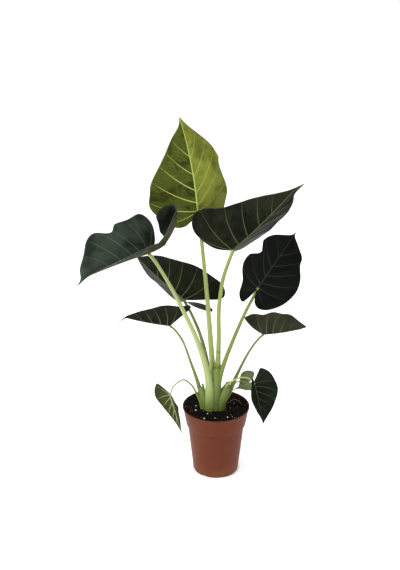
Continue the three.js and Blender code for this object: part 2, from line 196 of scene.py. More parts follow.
# A socket in a material. Sums and products of wires add Math nodes.
class Wire:
    def __init__(self, tree, socket=None):
        self.tree = tree
        self.socket = socket

    # Adds a node of this type: first its settings, then a value or a wire for each socket named.
    def add(self, kind, settings, sockets, output=0):
        node = self.tree.nodes.new(kind)
        for name, value in settings.items():
            if name == "stops":
                ramp = node.color_ramp
                for place, tint in value[2:]:
                    ramp.elements.new(place)
                for element, (place, tint) in zip(ramp.elements, sorted(value)):
                    element.position = place
                    element.color = tint
            else:
                setattr(node, name, value)
        for name, value in sockets.items():
            if isinstance(value, Wire):
                self.tree.links.new(value.socket, node.inputs[name])
            else:
                node.inputs[name].default_value = value
        return Wire(self.tree, node.outputs[output])

    def math(self, operation, *values):
        return self.add("ShaderNodeMath", {"operation": operation}, dict(enumerate(values)))

    def __add__(self, other):
        return self.math("ADD", self, other)

    def __sub__(self, other):
        return self.math("SUBTRACT", self, other)

    def __rsub__(self, other):
        return self.math("SUBTRACT", other, self)

    def __mul__(self, other):
        return self.math("MULTIPLY", self, other)

    __radd__ = __add__
    __rmul__ = __mul__

    # From 0 to 1 as this wire goes from low to high, eased.
    def between(self, low, high):
        ends = {"Value": self, "From Min": low, "From Max": high}
        return self.add("ShaderNodeMapRange", {"interpolation_type": "SMOOTHSTEP"}, ends)

    # A colour from low to high, by this wire.
    def mix(self, low, high):
        return self.add("ShaderNodeMix", {"data_type": "RGBA"}, {0: self, 6: low, 7: high}, 2)

    # The colour other in place of this one, by a share.
    def toward(self, other, share):
        return self.add("ShaderNodeMix", {"data_type": "RGBA"}, {0: share, 6: self, 7: other}, 2)

    def field(self, name, output):
        return self.add("ShaderNodeAttribute", {"attribute_name": name}, {}, output)

    def place(self):
        return self.add("ShaderNodeTexCoord", {}, {}, "Object")

    # The place stretched by a factor on each axis.
    def stretched(self, factors):
        return self.add("ShaderNodeVectorMath", {"operation": "MULTIPLY"}, {0: self, 1: factors})

    def noise(self, scale, detail=2.0, roughness=0.5, distortion=0.0):
        sizes = {"Vector": self, "Scale": scale, "Detail": detail, "Roughness": roughness}
        return self.add("ShaderNodeTexNoise", {}, {**sizes, "Distortion": distortion}, "Fac")

    def cells(self, scale):
        return self.add("ShaderNodeTexVoronoi", {}, {"Vector": self, "Scale": scale}, "Distance")


# A hex colour as the renderer's linear red, green, blue and alpha.
def tone(code):
    parts = [int(code[i : i + 2], 16) / 255 for i in (0, 2, 4)]
    return [((p + 0.055) / 1.055) ** 2.4 if p > 0.04045 else p / 12.92 for p in parts] + [1]


# A material: an even finish on the shader's own sockets, and paint(wire) for what varies over it.
def newFinish(name, even, paint):
    material = bpy.data.materials.new(name)
    material.use_nodes = True
    tree = material.node_tree
    shader = next(node for node in tree.nodes if node.type == "BSDF_PRINCIPLED")
    for socket, value in even.items():
        shader.inputs[socket].default_value = value
    colour, roughness, height, depth = paint(Wire(tree))
    tree.links.new(colour.socket, shader.inputs["Base Color"])
    tree.links.new(roughness.socket, shader.inputs["Roughness"])
    bump = colour.add("ShaderNodeBump", {}, {"Height": height, "Distance": depth, "Strength": 1.0})
    tree.links.new(bump.socket, shader.inputs["Normal"])
    return material


pot = {
    "bandHeight": 44 * mm,  # the flared band under the rim
    "bandFlare": 8.5 * mm,
    "bandStep": 3 * mm,
    "baseShare": 51.5 / 75,  # base radius as a share of the rim's
    "wall": 1.5 * mm,
    "lipHeight": 3 * mm,
    "lipOver": 1 * mm,  # how far the lip stands out
    "lipTurn": 1.1 * mm,  # how far its top turns in
    "footRound": 3 * mm,
    "columns": 240,
    "slots": 8,
    "slotWidth": 16 * mm,
    "slotHeight": 4 * mm,
    "slotDepth": 7 * mm,
    "firstSlot": -76,  # degrees; 0 is +X
    "tones": ["5e2a15", "6b331c"],
    # insideShade is painted shade: how far the inside wall is darkened for the shade inside the pot
    "insideShade": 0.7,  # how dark the inside is
}
rimRadius, rimHeight = potHigh.x, potHigh.z
baseRadius = rimRadius * pot["baseShare"]
bandFoot = rimHeight - pot["bandHeight"]
bandFootRadius = rimRadius - pot["bandFlare"]
bodyTopRadius = bandFootRadius - pot["bandStep"]


# A profile with each inner corner rounded: near the corner it follows a curve that leaves one side
# at that distance and joins the other, in a few steps, and long sides get rows between.
def roundedProfile(corners, size, steps=4, row=6 * mm):
    corners = np.asarray(corners, float)
    line = [corners[:1]]
    for before, corner, after in zip(corners, corners[1:], corners[2:]):
        back, on = before - corner, after - corner
        reach = min(size, 0.45 * np.linalg.norm(back), 0.45 * np.linalg.norm(on))
        start, end = corner + unit(back) * reach, corner + unit(on) * reach
        t = np.linspace(0, 1, steps + 1)[:, None]
        line.append((1 - t) ** 2 * start + 2 * t * (1 - t) * corner + t**2 * end)
    line = np.vstack(line + [corners[-1:]])
    out = [line[:1]]
    for a, b in zip(line, line[1:]):
        count = max(1, int(np.linalg.norm(b - a) / row))
        out.append(a + (b - a) * (np.arange(1, count + 1) / count)[:, None])
    return np.vstack(out)


# Terracotta plastic: cloudy, with scuffs drawn down it, dust at the foot and a fine grain. Shade is the
# share of painted shade over it: a deep brown that stands in for the shade inside the pot.
def terracottaPlastic(name, shade):
    def paint(wire):
        place = wire.place()
        cloud = place.noise(9, 3, 0.6)
        scuff = place.stretched([1, 1, 0.12]).noise(120, 4, 0.7).between(0.56, 0.74)
        grain = place.noise(900, 2, 0.6)
        height = place.add("ShaderNodeSeparateXYZ", {}, {"Vector": place}, "Z")
        dust = (1 - height.between(0.0, 0.035)) * cloud.between(0.35, 0.7)
        base = cloud.mix(tone(pot["tones"][0]), tone(pot["tones"][1]))
        colour = base.toward(tone("96674f"), scuff * 0.16 + dust * 0.25)
        colour = colour.toward(tone("572817"), grain.between(0.5, 0.75) * 0.16)
        # Painted shade: the finish darkens toward a deep brown by its share.
        colour = colour.toward(tone("1e120c"), shade)
        rough = 0.4 + cloud * 0.12 + scuff * 0.14
        return colour, rough, grain + cloud * 0.6 + scuff * 0.4, 0.00012

    return newFinish(name, {"Specular IOR Level": 0.12}, paint)


# The pot's outer skin is a profile turned about Z, with the drain slots left out of it. Solidify
# gives the wall on its inside.
def makePot():
    top, lipFoot = rimHeight, rimHeight - pot["lipHeight"]
    slotTop, slotBack = pot["slotHeight"], baseRadius - pot["slotDepth"]
    foot = roundedProfile(
        [[slotBack, 0], [baseRadius - 0.6 * mm, 0], [baseRadius, slotTop]], pot["footRound"], 4, 2 * mm
    )
    side = roundedProfile(
        [
            [baseRadius, slotTop],
            [bodyTopRadius, bandFoot],
            [bandFootRadius, bandFoot + 0.3 * mm],
            [rimRadius - pot["lipOver"], lipFoot],
            [rimRadius, lipFoot + 0.2 * mm],
            [rimRadius, top],
            [rimRadius - pot["lipTurn"], top],
        ],
        0.9 * mm,
    )
    floor = np.stack([np.linspace(4 * mm, slotBack, 12), np.zeros(12)], axis=-1)
    profile = np.vstack([floor, foot[1:], side[1:]])
    angle = np.linspace(0, 2 * math.pi, pot["columns"], endpoint=False)
    radius, height = profile[:, :1], profile[:, 1:]
    flat = np.broadcast_to(height, (len(profile), len(angle)))
    rings = np.stack([radius * np.cos(angle), radius * np.sin(angle), flat], axis=-1)
    places, quads, caps = closedRings(rings, np.zeros((1, 3)), np.zeros((1, 3)))
    caps = caps[: pot["columns"]]  # only the floor's middle is closed; the top stays open
    places = places[:-1]
    centre = places[quads].mean(1)
    turn = np.degrees(np.arctan2(centre[:, 1], centre[:, 0])) - pot["firstSlot"]
    pitch = 360 / pot["slots"]
    offset = np.radians((turn + pitch / 2) % pitch - pitch / 2)
    span = np.hypot(centre[:, 0], centre[:, 1])
    inSlot = np.abs(span * np.sin(offset)) < pot["slotWidth"] / 2
    slotFaces = inSlot & (span > slotBack) & (centre[:, 2] < slotTop)
    shape = outwards((places, quads, caps))
    shape = (shape[0], shape[1][~slotFaces], shape[2])
    finishes = [
        terracottaPlastic("terracottaPlastic", 0),
        # The inside of the wall takes this second finish, darkened as painted shade.
        terracottaPlastic("insideShadedPlastic", pot["insideShade"]),
    ]
    piece = addPiece("nursery_pot", shape, finishes, "pot")
    wall = piece.modifiers.new("wall", "SOLIDIFY")
    wall.thickness = pot["wall"]
    wall.offset = -1
    wall.use_even_offset = True
    wall.material_offset = 1
    edge = piece.modifiers.new("edge", "BEVEL")
    edge.width = 0.25 * mm
    edge.segments = 2
    edge.limit_method = "ANGLE"
    edge.angle_limit = math.radians(50)


makePot()
print("pot made")


soil = {
    "belowRim": 6 * mm,
    "crown": 2 * mm,
    "gap": 0.3 * mm,  # to the pot's wall
    "bottom": 2.3 * mm,
    "rings": 110,
    "columns": 260,
    "lump": 1.6 * mm,
    "crumbs": 1500,
    "crumbSize": 1.15 * mm,
    "specks": 70,
    "speckSize": 0.55 * mm,
}
soilEdge = rimHeight - soil["belowRim"]


# Radius of the pot's inside wall at a height.
def insideRadius(height):
    below = baseRadius + (bodyTopRadius - baseRadius) * height / bandFoot
    above = bandFootRadius + (rimRadius - bandFootRadius) * (height - bandFoot) / pot["bandHeight"]
    return np.where(height < bandFoot, below, above) - pot["wall"]


soilRadius = float(insideRadius(soilEdge)) - soil["gap"]


# Height of the soil's crumbly surface: a low mound with lumps of three sizes.
def soilHeight(x, y):
    mound = soil["crown"] * (1 - (x**2 + y**2) / soilRadius**2)
    rough = 0.55 * lumps(x / (9 * mm), y / (9 * mm), 3) + 0.5 * lumps(x / (3.5 * mm), y / (3.5 * mm), 4)
    return soilEdge + mound + soil["lump"] * (rough + 0.3 * lumps(x / (1.6 * mm), y / (1.6 * mm), 5))


# Potting mix: near black to brown by a cloud, or by each crumb's own tint, with a few pale fibres.
def pottingMix(name, tinted):
    def paint(wire):
        place = wire.place()
        crumb = place.cells(420)
        cloud = place.noise(160, 4, 0.65)
        shade = wire.field("tint", "Fac") if tinted else cloud
        browns = [(0.0, "040302"), (1.0, "4d2f20"), (0.5, "0a0705"), (0.82, "1f130c")]
        stops = [(place, tone(code)) for place, code in browns]
        colour = shade.add("ShaderNodeValToRGB", {"stops": stops}, {"Fac": shade}, "Color")
        colour = colour.toward(tone("5d4a3a"), place.noise(1300, 2, 0.6).between(0.64, 0.74) * 0.5)
        rough = 0.78 + cloud * 0.2
        return colour, rough, cloud * 1.2 - crumb * 0.8, 0.0012

    return newFinish(name, {"Specular IOR Level": 0.1}, paint)


# Perlite: off-white and pitted by small cells, with painted shade in the bottoms of the pits.
def perliteGrain():
    def paint(wire):
        place = wire.place()
        pore = place.cells(1500)
        cloud = place.noise(500, 3, 0.6)
        base = cloud.mix(tone("b9b2a6"), tone("efece4"))
        # Painted shade: darker toward the cells' centres, where the bump sinks the pits.
        colour = base.toward(tone("8e8577"), (1 - pore.between(0.1, 0.35)) * 0.35)
        return colour, 0.8 + cloud * 0.15, pore + cloud * 0.4, 0.0005

    return newFinish("perliteGrain", {"Specular IOR Level": 0.3}, paint)


# The soil fills the pot: rings up its wall, then inwards over the mound, closed at both ends.
def makeSoil():
    turnStep = np.linspace(0, 2 * math.pi, soil["columns"], endpoint=False)
    bottom = soil["bottom"]
    body = np.linspace(bottom, bandFoot - 1 * mm, 20)
    band = np.linspace(bandFoot + 2 * mm, soilEdge - 2 * mm, 8)
    wallHeights = np.concatenate([body, band])
    wallRadii = insideRadius(wallHeights) - soil["gap"]
    share = np.linspace(1, 0.01, soil["rings"])
    radii = np.concatenate([wallRadii, soilRadius * share])[:, None]
    x, y = radii * np.cos(turnStep), radii * np.sin(turnStep)
    walls = np.repeat(wallHeights[:, None], len(turnStep), axis=1)
    top = soilHeight(x[len(wallHeights) :], y[len(wallHeights) :])
    rings = np.stack([x, y, np.vstack([walls, top])], axis=-1)
    shape = closedRings(rings, np.array([[0, 0, bottom]]), np.array([[0, 0, top[-1].mean()]]))
    addPiece("soil_bed", outwards(shape), [pottingMix("pottingMix", False)], "soil")


# An icosahedron: corners at the ends of three golden rectangles.
def icosahedron():
    golden = (1 + math.sqrt(5)) / 2
    corners = [np.roll([0, a, b * golden], k) for k in range(3) for a in (-1, 1) for b in (-1, 1)]
    corners = unit(np.array(corners))
    gaps = np.linalg.norm(corners[:, None] - corners[None], axis=-1)
    near = (gaps > 0.1) & (gaps < 1.1)
    found = []
    for a in range(12):
        for b in range(a + 1, 12):
            for c in range(b + 1, 12):
                if near[a, b] and near[b, c] and near[a, c]:
                    normal = np.cross(corners[b] - corners[a], corners[c] - corners[a])
                    out = np.dot(normal, corners[a]) > 0
                    found.append((a, b, c) if out else (a, c, b))
    return corners, np.array(found)


# Many small lumps as one mesh: each is the same 20-sided stone, turned, stretched and dented at random.
def scattered(name, count, size, sink, finish, seed):
    draw = np.random.default_rng(seed)
    corners, faces = icosahedron()
    reach = soilRadius * 0.985 * np.sqrt(draw.uniform(0, 1, count))
    turn = draw.uniform(0, 2 * math.pi, count)
    x, y = reach * np.cos(turn), reach * np.sin(turn)
    sizes = size * draw.lognormal(0, 0.42, count)
    spin = unit(draw.normal(size=(count, 4)))
    w, i, j, k = spin.T
    turns = np.array(
        [
            [1 - 2 * (j * j + k * k), 2 * (i * j - k * w), 2 * (i * k + j * w)],
            [2 * (i * j + k * w), 1 - 2 * (i * i + k * k), 2 * (j * k - i * w)],
            [2 * (i * k - j * w), 2 * (j * k + i * w), 1 - 2 * (i * i + j * j)],
        ]
    ).transpose(2, 0, 1)
    stretch = draw.uniform(0.55, 1.35, (count, 1, 3))
    dents = draw.uniform(0.75, 1.2, (count, 12, 1))
    stones = np.einsum("nab,nvb->nva", turns, corners * stretch * dents) * sizes[:, None, None]
    centres = np.stack([x, y, soilHeight(x, y) + sizes * sink], axis=-1)
    places = (stones + centres[:, None]).reshape(-1, 3)
    triangles = (faces[None] + 12 * np.arange(count)[:, None, None]).reshape(-1, 3)
    tint = np.repeat(draw.uniform(0, 1, count) ** 1.6, 12)
    shape = (places, np.zeros((0, 4), int), triangles)
    addPiece(name, shape, [finish], fields={"tint": tint})


makeSoil()
perlite = perliteGrain()
mixCrumb = pottingMix("mixCrumb", True)
scattered("soil_crumbs", soil["crumbs"], soil["crumbSize"], 0.1, mixCrumb, 11)
scattered("perlite_specks", soil["specks"], soil["speckSize"], 0.45, perlite, 12)


# A perlite grain: a sphere of two angles, squashed and dented by lumps, filling its node's box.
def makeGrain(node, seed):
    low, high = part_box(node)
    centre, half = np.array((low + high) / 2), np.array((high - low) / 2)
    slope, turn = np.linspace(0, math.pi, 22)[1:-1], np.linspace(0, 2 * math.pi, 28, endpoint=False)
    down, around = np.meshgrid(slope, turn, indexing="ij")
    ball = np.stack([np.sin(down) * np.cos(around), np.sin(down) * np.sin(around), np.cos(down)], axis=-1)
    dent = 1 + 0.13 * lumps(ball[..., 0] * 1.7 + seed, ball[..., 1] * 1.7 + ball[..., 2] * 1.3, seed)
    dent = dent + 0.07 * lumps(ball[..., 0] * 4 + seed, ball[..., 1] * 4 + ball[..., 2] * 3, seed + 20)
    rings = centre + ball * half * dent[..., None]
    poles = [centre + np.array([[0, 0, sign]]) * half for sign in (1, -1)]
    shape = outwards(closedRings(rings, *poles))
    addPiece(f"grain_{node}", shape, [perlite], node)


for number in range(1, 9):
    makeGrain(f"perlite_{number}", 30 + number)


# A tube round a line, with a radius at each step and a closed point at each end. The columns start
# on the side that faces the front.
def tube(line, radii, columns=40, ridges=0.0, ridgeCount=9):
    onward = unit(np.gradient(line, axis=0))
    front = np.array([0.0, -1.0, 0.0])
    across = unit(front - onward * (onward @ front)[:, None])
    beside = np.cross(onward, across)
    angle = np.linspace(0, 2 * math.pi, columns, endpoint=False)
    grooved = radii[:, None] * (1 + ridges * np.cos(ridgeCount * angle))
    rings = line[:, None] + across[:, None] * (grooved * np.cos(angle))[..., None]
    rings = rings + beside[:, None] * (grooved * np.sin(angle))[..., None]
    start, end = line[:1] - onward[:1] * 0.1 * mm, line[-1:] + onward[-1:] * radii[-1] * 0.3
    return closedRings(rings, start, end)


# The stray root: a thin tube that arches over its node's box and wanders a little.
def makeFibre():
    low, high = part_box("root_fibre")
    arch = [[0, 0], [0.27, 0.55], [0.36, 0.8], [0.62, 1], [0.74, 0.8], [0.86, 0.66], [1, 0]]
    t = np.linspace(0, 1, 90)
    path = smoothLine(arch, t)
    sway = low.y + (high.y - low.y) * (0.3 + 0.4 * t)
    x = low.x + 1 * mm + (high.x - low.x - 2 * mm) * path[:, 0]
    z = low.z + (high.z - low.z - 1 * mm) * path[:, 1]
    line = np.stack([x, sway + 0.6 * mm * lumps(t * 9, t, 51), z + 0.5 * mm * lumps(t * 7, t, 52)], axis=-1)
    radii = 0.55 * mm * (1 + 0.3 * lumps(t * 22, t, 53))

    def paint(wire):
        place = wire.place()
        streak = place.noise(700, 3, 0.6)
        colour = streak.mix(tone("6b5e4a"), tone("b3a88e"))
        return colour, 0.7 + streak * 0.2, streak, 0.0003

    finish = newFinish("rootFibre", {"Specular IOR Level": 0.3}, paint)
    addPiece("stray_root", outwards(tube(line, radii, 12)), [finish], "root_fibre")


makeFibre()
print("soil, perlite and stray root made")


# Places are [x, y, height above the soil's edge] in millimetres, and facing is the way a blade's upper
# side looks. Pairs hold the left side and then the right, seen from the junction with the upper side up.
# A margin's points are [along, across] from the sinus round the lobe to the tip. They are shares of the
# blade's length, as are bend (to the left), arch (upwards) and lobeCurl (the radius that a lobe turns
# back with). Each half folds up by its fold, and its lobe by lobeFold more, in degrees. Twist turns the
# tip about the midrib. Hook is how far the drip tip's end moves, and radii run up the stalk, both in
# millimetres. Wave is [count, millimetres, start] of the margin's waves.
leaves = {
    "top": {
        "junction": [-41, 25, 453],
        "tip": [-78, 35, 649],
        "facing": [-0.55, 1, 0],
        "fold": [20, 20],
        "bend": 0.03,
        "margin": [
            [[-0.03, 0], [-0.15, 0.13], [-0.13, 0.34], [0, 0.47], [0.15, 0.47], [0.4, 0.415], [0.5, 0.405],
             [0.62, 0.34], [0.88, 0.09], [1, 0]],
            [[-0.03, 0], [-0.13, 0.15], [-0.1, 0.29], [0.1, 0.48], [0.28, 0.49], [0.43, 0.42], [0.73, 0.2],
             [0.9, 0.05], [1, 0]],
        ],
        "wave": [5, 3.2, 0.4],
        # The top leaf's skins are painted bright, to stand for the light that shines through it from behind.
        "skins": ["gold", "goldUnder"],
        "stalk": [[-10, 2], [-9, 4, 104], [-12, 8, 151], [-22, 18, 278], [-34, 23, 400]],
        "radii": [7, 6.5, 5.5, 4.6, 4, 3.6],
    },
    "upper_right": {
        "junction": [33, 10, 372],
        "tip": [168, 20, 511],
        "facing": [-0.42, 0.8, 0.42],
        "fold": [32, 32],
        "bend": 0.03,
        "twist": -30,
        "margin": [
            [[-0.01, 0], [-0.05, 0.16], [-0.01, 0.36], [0.08, 0.46], [0.32, 0.37], [0.5, 0.29], [0.62, 0.28],
             [0.8, 0.16], [0.9, 0.06], [1, 0]],
            [[-0.01, 0], [-0.12, 0.18], [-0.13, 0.45], [-0.01, 0.61], [0.12, 0.56], [0.27, 0.43],
             [0.6, 0.235], [0.88, 0.05], [1, 0]],
        ],
        "hook": [19, 0, 5],
        "wave": [4, 1.6, 1.5],
        "skins": ["dark", "darkUnder"],
        "stalk": [[-4, 0], [3, -4, 96], [5, 4, 165], [5, 10, 234], [13, 14, 302], [27, 13, 350]],
        "radii": [8, 7, 5.5, 4.8, 4.4, 4, 3.6],
    },
    "middle": {
        "junction": [-71, 40, 247],
        "tip": [-173, 60, 338],
        "facing": [0.42, 0.8, 0.42],
        "fold": [38, 24],
        "lobeFold": [0, 60],
        "bend": -0.03,
        "margin": [
            [[-0.02, 0], [-0.24, 0.21], [-0.43, 0.43], [-0.25, 0.59], [0.08, 0.58], [0.38, 0.49],
             [0.7, 0.32], [0.88, 0.16], [1, 0]],
            [[-0.02, 0], [-0.2, 0.05], [-0.43, 0.14], [-0.46, 0.22], [-0.2, 0.3], [0.1, 0.42], [0.45, 0.4],
             [0.65, 0.36], [0.85, 0.2], [1, 0]],
        ],
        "wave": [4, 1.5, 0.8],
        "skins": ["dark", "darkUnder"],
        "stalk": [[-15, 8], [-15, 8, 48], [-22, 12, 118], [-37, 20, 175], [-54, 30, 214]],
        "radii": [6.5, 6, 4.8, 4, 3.4, 3],
    },
    "right": {
        "junction": [87, -20, 298],
        "tip": [164, -10, 418],
        "facing": [0.25, -0.95, -0.05],
        "fold": [8, 16],
        "margin": [
            [[-0.03, 0], [-0.2, 0.04], [-0.3, 0.1], [-0.2, 0.22], [0, 0.31], [0.14, 0.41], [0.26, 0.48],
             [0.39, 0.45], [0.48, 0.34], [0.58, 0.31], [0.67, 0.4], [0.8, 0.31], [0.92, 0.06], [1, 0]],
            [[-0.03, 0], [-0.2, 0.07], [-0.27, 0.18], [-0.2, 0.35], [0, 0.47], [0.22, 0.53], [0.45, 0.45],
             [0.62, 0.34], [0.74, 0.28], [0.84, 0.15], [0.93, 0.03], [1, 0]],
        ],
        "wave": [6, 2.2, 0.3],
        "skins": ["deep", "darkUnder"],
        "stalk": [[-6, -6], [-3, -9, 30], [12, -14, 101], [36, -16, 175], [62, -13, 240], [79, -12, 276]],
        "radii": [9, 9, 5.6, 4.4, 3.8, 3.4, 3.2],
    },
    "left": {
        "junction": [-142, -30, 379],
        "tip": [-273, -110, 352],
        "facing": [0, -0.45, 0.9],
        "fold": [59, 50],
        "lobeFold": [38, 0],
        "arch": 0.02,
        "lobeCurl": [0.04, 0],
        "margin": [
            [[-0.05, 0], [-0.3, 0.12], [-0.56, 0.25], [-0.75, 0.4], [-0.78, 0.53], [-0.68, 0.6],
             [-0.54, 0.63], [-0.4, 0.6], [-0.22, 0.55], [-0.08, 0.47], [0.1, 0.4], [0.4, 0.28],
             [0.78, 0.11], [1, 0]],
            [[-0.05, 0], [-0.15, 0.15], [-0.18, 0.38], [-0.06, 0.53], [0.12, 0.53], [0.33, 0.51],
             [0.42, 0.43], [0.62, 0.5], [0.77, 0.44], [0.86, 0.31], [0.94, 0.17], [0.96, 0.05], [1, 0]],
        ],
        "hook": [-17, -4, -24],
        "wave": [5, 2.5, 0.2],
        "skins": ["slate", "greyUnder"],
        "stalk": [[-15, -8], [-16, -13, 2], [-16, -18, 70], [-22, -21, 108], [-42, -28, 178],
                  [-66, -33, 238], [-99, -33, 308], [-130, -31, 362]],
        "radii": [10, 9.2, 7, 5.7, 4.8, 4.2, 3.6, 3.4],
    },
    "lower_right": {
        "junction": [102, 0, 181],
        "tip": [194, -20, 207],
        "facing": [0, 0.75, 0.7],
        "fold": [26, 32],
        "arch": -0.03,
        "margin": [
            [[-0.02, 0], [-0.08, 0.2], [0, 0.42], [0.2, 0.51], [0.48, 0.46], [0.7, 0.33], [0.88, 0.12],
             [1, 0]],
            [[-0.02, 0], [-0.2, 0.22], [-0.3, 0.47], [-0.16, 0.56], [0.08, 0.555], [0.3, 0.565],
             [0.55, 0.52], [0.73, 0.42], [0.9, 0.18], [1, 0]],
        ],
        "wave": [5, 1.8, 0.5],
        "skins": ["dark", "paleUnder"],
        "stalk": [[12, 0], [16, 0, 10], [27, 0, 32], [46, 2, 81], [74, 0, 143], [93, 0, 171]],
        "radii": [6, 6, 5, 3.4, 2.8, 2.4, 2.3],
    },
    "small_right": {
        "junction": [84, -30, 75],
        "tip": [105, -40, -19],
        "facing": [0.7, -1, 0.2],
        "fold": [35, 37],
        "lobeFold": [0, 15],
        "margin": [
            [[-0.06, 0], [-0.25, 0.13], [-0.34, 0.22], [-0.22, 0.38], [0.02, 0.48], [0.28, 0.48],
             [0.6, 0.33], [0.86, 0.11], [1, 0]],
            [[-0.06, 0], [-0.22, 0.06], [-0.3, 0.14], [-0.14, 0.22], [0.05, 0.35], [0.25, 0.4], [0.5, 0.29],
             [0.78, 0.1], [1, 0]],
        ],
        "wave": [4, 1, 0.6],
        "skins": ["fern", "darkUnder"],
        "stalk": [[8, -6], [8, -6, 20], [12, -8, 44], [26, -14, 66], [52, -24, 87], [73, -27, 86]],
        "radii": [4, 4, 3, 2.2, 1.8, 1.6, 1.5],
    },
    "young_right": {
        "junction": [72, 15, 54],
        "tip": [36, 25, 30],
        "facing": [0, 1, 0.2],
        "fold": [15, 15],
        "margin": [
            [[-0.05, 0], [-0.4, 0.15], [-0.6, 0.38], [-0.4, 0.62], [-0.07, 0.65], [0.15, 0.52], [0.5, 0.1],
             [0.7, 0.03], [1, 0]],
            [[-0.05, 0], [-0.4, 0.15], [-0.6, 0.4], [-0.45, 0.66], [-0.1, 0.76], [0.2, 0.66], [0.45, 0.4],
             [0.65, 0.1], [1, 0]],
        ],
        "wave": [4, 0.6, 0.1],
        "skins": ["fresh", "freshUnder"],
        "stalk": [[18, 5], [20, 6, 15], [31, 9, 43], [50, 11, 60], [66, 11, 59]],
        "radii": [2.6, 2.6, 2, 1.5, 1.3, 1.2],
    },
    "lower_left": {
        "junction": [-101, -10, 206],
        "tip": [-204, -30, 236],
        "facing": [0, 0.6, 0.8],
        "fold": [36, 32],
        "arch": -0.02,
        "margin": [
            [[-0.01, 0], [-0.12, 0.23], [-0.26, 0.5], [-0.2, 0.57], [0, 0.53], [0.32, 0.47], [0.6, 0.31],
             [0.87, 0.09], [1, 0]],
            [[-0.01, 0], [-0.05, 0.22], [0.04, 0.42], [0.2, 0.48], [0.42, 0.43], [0.66, 0.29], [0.88, 0.08],
             [1, 0]],
        ],
        "hook": [-14, -3, -24],
        "wave": [4, 1.2, 0.7],
        "skins": ["dark", "darkUnder"],
        "stalk": [[-26, -3], [-32, -5, 25], [-40, -10, 65], [-56, -12, 118], [-75, -14, 174],
                  [-92, -12, 198]],
        "radii": [6, 5.5, 4.5, 3.2, 2.6, 2.4, 2.2],
    },
    "small_left": {
        "junction": [-102, -45, 56],
        "tip": [-76, -50, -39],
        "facing": [-0.7, 1, 0.1],
        "fold": [35, 50],
        "margin": [
            [[-0.05, 0], [-0.25, 0.12], [-0.34, 0.21], [-0.2, 0.3], [0, 0.32], [0.2, 0.25], [0.6, 0.1],
             [0.85, 0.03], [1, 0]],
            [[-0.05, 0], [0.1, 0.13], [0.35, 0.23], [0.48, 0.33], [0.6, 0.24], [0.78, 0.14], [0.92, 0.03],
             [1, 0]],
        ],
        "wave": [4, 0.8, 0.3],
        "skins": ["young", "youngUnder"],
        "stalk": [[-30, -7], [-35, -9, 18], [-45, -14, 46], [-55, -22, 68], [-73, -34, 87], [-93, -44, 77]],
        "radii": [3.5, 3, 2.4, 2, 1.7, 1.5, 1.4],
    },
}

blade = {
    "creaseFoot": 0.2,  # where a curled lobe turns back, as a share of the length behind the junction
    "creaseLean": 0.22,  # how much farther back that is at creaseSpan across
    "creaseSpan": 0.45,
    "hookStart": 0.86,  # where the drip tip starts to bend, and over how much it does
    "hookSpan": 0.2,
    "thickness": 0.5 * mm,
    "rings": 92,
    "columns": 480,
    "smallRings": 56,  # a blade shorter than smallLength has fewer
    "smallColumns": 260,
    "smallLength": 120 * mm,
    "soften": 0.014,  # rounding of the valley along the midrib, as a share of the length
    "quilt": 0.007,  # how far the blade swells between veins, as a share of the length
    "quiltReach": 0.05,
    "midrib": 2.1 * mm,
    "lateral": 1.05 * mm,
    "fullLength": 150 * mm,  # a shorter blade has thinner veins
    "tipClustering": 1.2,
}
# Side veins as [start on the midrib, end round the margin, stoutness].
sideVeins = [
    [0.0, 0.24, 0.8],
    [0.0, 0.43, 1],
    [0.06, 0.56, 1.15],
    [0.19, 0.67, 1.15],
    [0.36, 0.765, 1],
    [0.55, 0.86, 0.85],
]


# A place on the plant in metres: its height is measured from the soil's edge.
def plantPoint(place):
    x, y, height = place
    return np.array([x * mm, y * mm, soilEdge + height * mm])


# A half's margin in blade lengths, at turns from 0 at the sinus to 1 at the tip.
def marginOf(leaf, side, turn):
    return smoothLine(leaf["margin"][side], turn)


# The flat blade: for each ring and column its place [along, across], its side, its turn round the
# margin and its share of the way out. Columns stand at even distances round the margin.
def flatBlade(leaf, rings, columns):
    half = columns // 2
    fine = np.linspace(0, 1, 1500)
    margins, turns, sides = [], [], []
    for side in (0, 1):
        edge = marginOf(leaf, side, fine)
        run = runAlong(edge)
        step = np.linspace(0, 1, half + 1)
        turn = np.interp((1 - (1 - step) ** blade["tipClustering"]) * run[-1], run, fine)
        if side == 1:
            turn = turn[1:-1][::-1]
        margins.append(marginOf(leaf, side, turn))
        turns.append(turn)
        sides.append(np.full(len(turn), side))
    margin, turn, side = np.vstack(margins), np.concatenate(turns), np.concatenate(sides)
    share = np.concatenate([np.linspace(0, 1, rings)[1:-1], [0.994, 1]])[:, None]
    shape = (len(share), len(turn))
    return (
        margin[:, 0] * share,
        margin[:, 1] * share,
        np.broadcast_to(side, shape),
        np.broadcast_to(turn, shape),
        np.broadcast_to(share, shape),
    )


# Distance from each flat place to a curved line of points, along its straight steps.
def distanceTo(line, along, across):
    nearest = np.full(along.shape, 9.0)
    for (x0, y0), (x1, y1) in zip(line, line[1:]):
        dx, dy = x1 - x0, y1 - y0
        t = np.clip(((along - x0) * dx + (across - y0) * dy) / (dx * dx + dy * dy + 1e-12), 0, 1)
        nearest = np.minimum(nearest, np.hypot(along - x0 - t * dx, across - y0 - t * dy))
    return nearest


